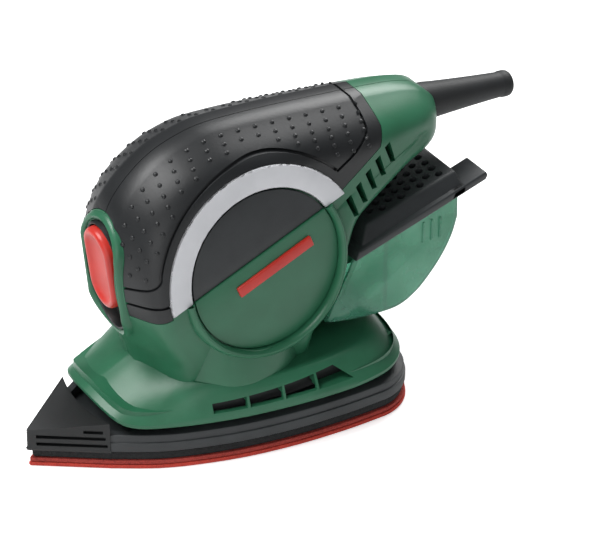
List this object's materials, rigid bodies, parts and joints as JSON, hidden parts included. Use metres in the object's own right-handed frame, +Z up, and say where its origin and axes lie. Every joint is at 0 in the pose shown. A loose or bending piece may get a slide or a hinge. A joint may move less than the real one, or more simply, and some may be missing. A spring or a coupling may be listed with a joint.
{
  "type": "detail mouse sander",
  "caption": "Palm detail sander with an iron-shaped orbiting plate and pointed nose tip, round side faces, a slide switch at the nose and a see-through dust box behind.",
  "frame": {"origin": "on the sole, under the axis of the motor shaft", "axes": "+X to the rear, towards the dust box and the cable sleeve; the pointed nose is at -X; +Y to the user's right; +Z up from the sole"},
  "size_m": [0.2253, 0.093, 0.1302],
  "materials": {
    "green_plastic": "moulded ABS with a fine satin texture",
    "soft_grip": "matt soft-touch overmould",
    "dark_plastic": "satin moulded plastic",
    "silver_plastic": "satin silver-white paint on plastic",
    "red_plastic": "satin moulded plastic",
    "clear_green": "see-through tinted plastic",
    "abrasive": "coated abrasive grain on a cloth backing",
    "hook_cloth": "short hook pile",
    "foam": "closed-cell foam",
    "rubber": "matt",
    "steel": "ground",
    "laminations": "stacked laminations",
    "aluminium": "die cast",
    "copper": "enamelled wire",
    "brass": "pressed",
    "carbon": "pressed carbon",
    "capacitor_case": "moulded",
    "filter_paper": "pleated paper"
  },
  "bodies": {
    "body": {"switch_tray": "dark_plastic", "cable_clamp": "dark_plastic", "switch_module": "dark_plastic", "dust_duct": "dark_plastic", "cable_sleeve": "rubber", "box_seal": "rubber", "skirt": "green_plastic", "housing_left": "green_plastic", "housing_right": "green_plastic", "side_disc_lower_left": "green_plastic", "side_disc_lower_right": "green_plastic", "soft_grip_left": "soft_grip", "soft_grip_right": "soft_grip", "side_ring_left": "silver_plastic", "side_ring_right": "silver_plastic", "side_disc_upper_left": "dark_plastic", "side_disc_upper_right": "dark_plastic", "clamp_screw_1": "steel", "clamp_screw_2": "steel", "housing_screw_1": "steel", "housing_screw_2": "steel", "housing_screw_3": "steel", "housing_screw_4": "steel", "lower_bearing": "steel", "upper_bearing": "steel", "field_stack": "laminations", "field_coil_front": "copper", "field_coil_rear": "copper", "lower_bracket": "aluminium", "upper_bracket": "aluminium", "carbon_brush_front": "carbon", "carbon_brush_rear": "carbon", "brush_holder_front": "brass", "brush_holder_rear": "brass", "suppression_capacitor": "capacitor_case"},
    "rotor": {"motor_shaft": "steel", "armature_core": "laminations", "armature_winding_upper": "copper", "armature_winding_lower": "copper", "commutator": "copper", "fan": "dark_plastic", "eccentric": "steel", "plate_bearing": "steel"},
    "legs": {"swing_leg_1": "rubber", "swing_leg_2": "rubber", "swing_leg_3": "rubber", "swing_leg_4": "rubber"},
    "plate": {"base_plate": "dark_plastic", "nose_tip": "dark_plastic", "foam_pad": "foam", "hook_pad": "hook_cloth", "sanding_sheet": "abrasive"},
    "switch": {"switch_slider": "red_plastic", "switch_rod": "dark_plastic"},
    "dust_collector": {"dust_box": "clear_green", "filter_lid": "dark_plastic", "filter_element": "filter_paper"}
  },
  "joints": [
    {"name": "rotor_spin", "type": "hinge", "parent": "body", "child": "rotor", "pos_m": [0, 0, 0.05], "axis": [0, 0, 1], "continuous": true},
    {"name": "legs_sway", "type": "slide", "parent": "body", "child": "legs", "axis": [1, 0, 0], "range_m": [-0.0007, 0.0007], "stiffness_N_per_m": 2000},
    {"name": "plate_sway", "type": "slide", "parent": "legs", "child": "plate", "axis": [0, 1, 0], "range_m": [-0.0007, 0.0007], "stiffness_N_per_m": 2000},
    {"name": "switch_slide", "type": "slide", "parent": "body", "child": "switch", "axis": [0.1149, 0, -0.9934], "range_m": [0, 0.006]},
    {"name": "dust_box_pull", "type": "slide", "parent": "body", "child": "dust_collector", "axis": [1, 0, 0], "range_m": [0, 0.06]}
  ]
}
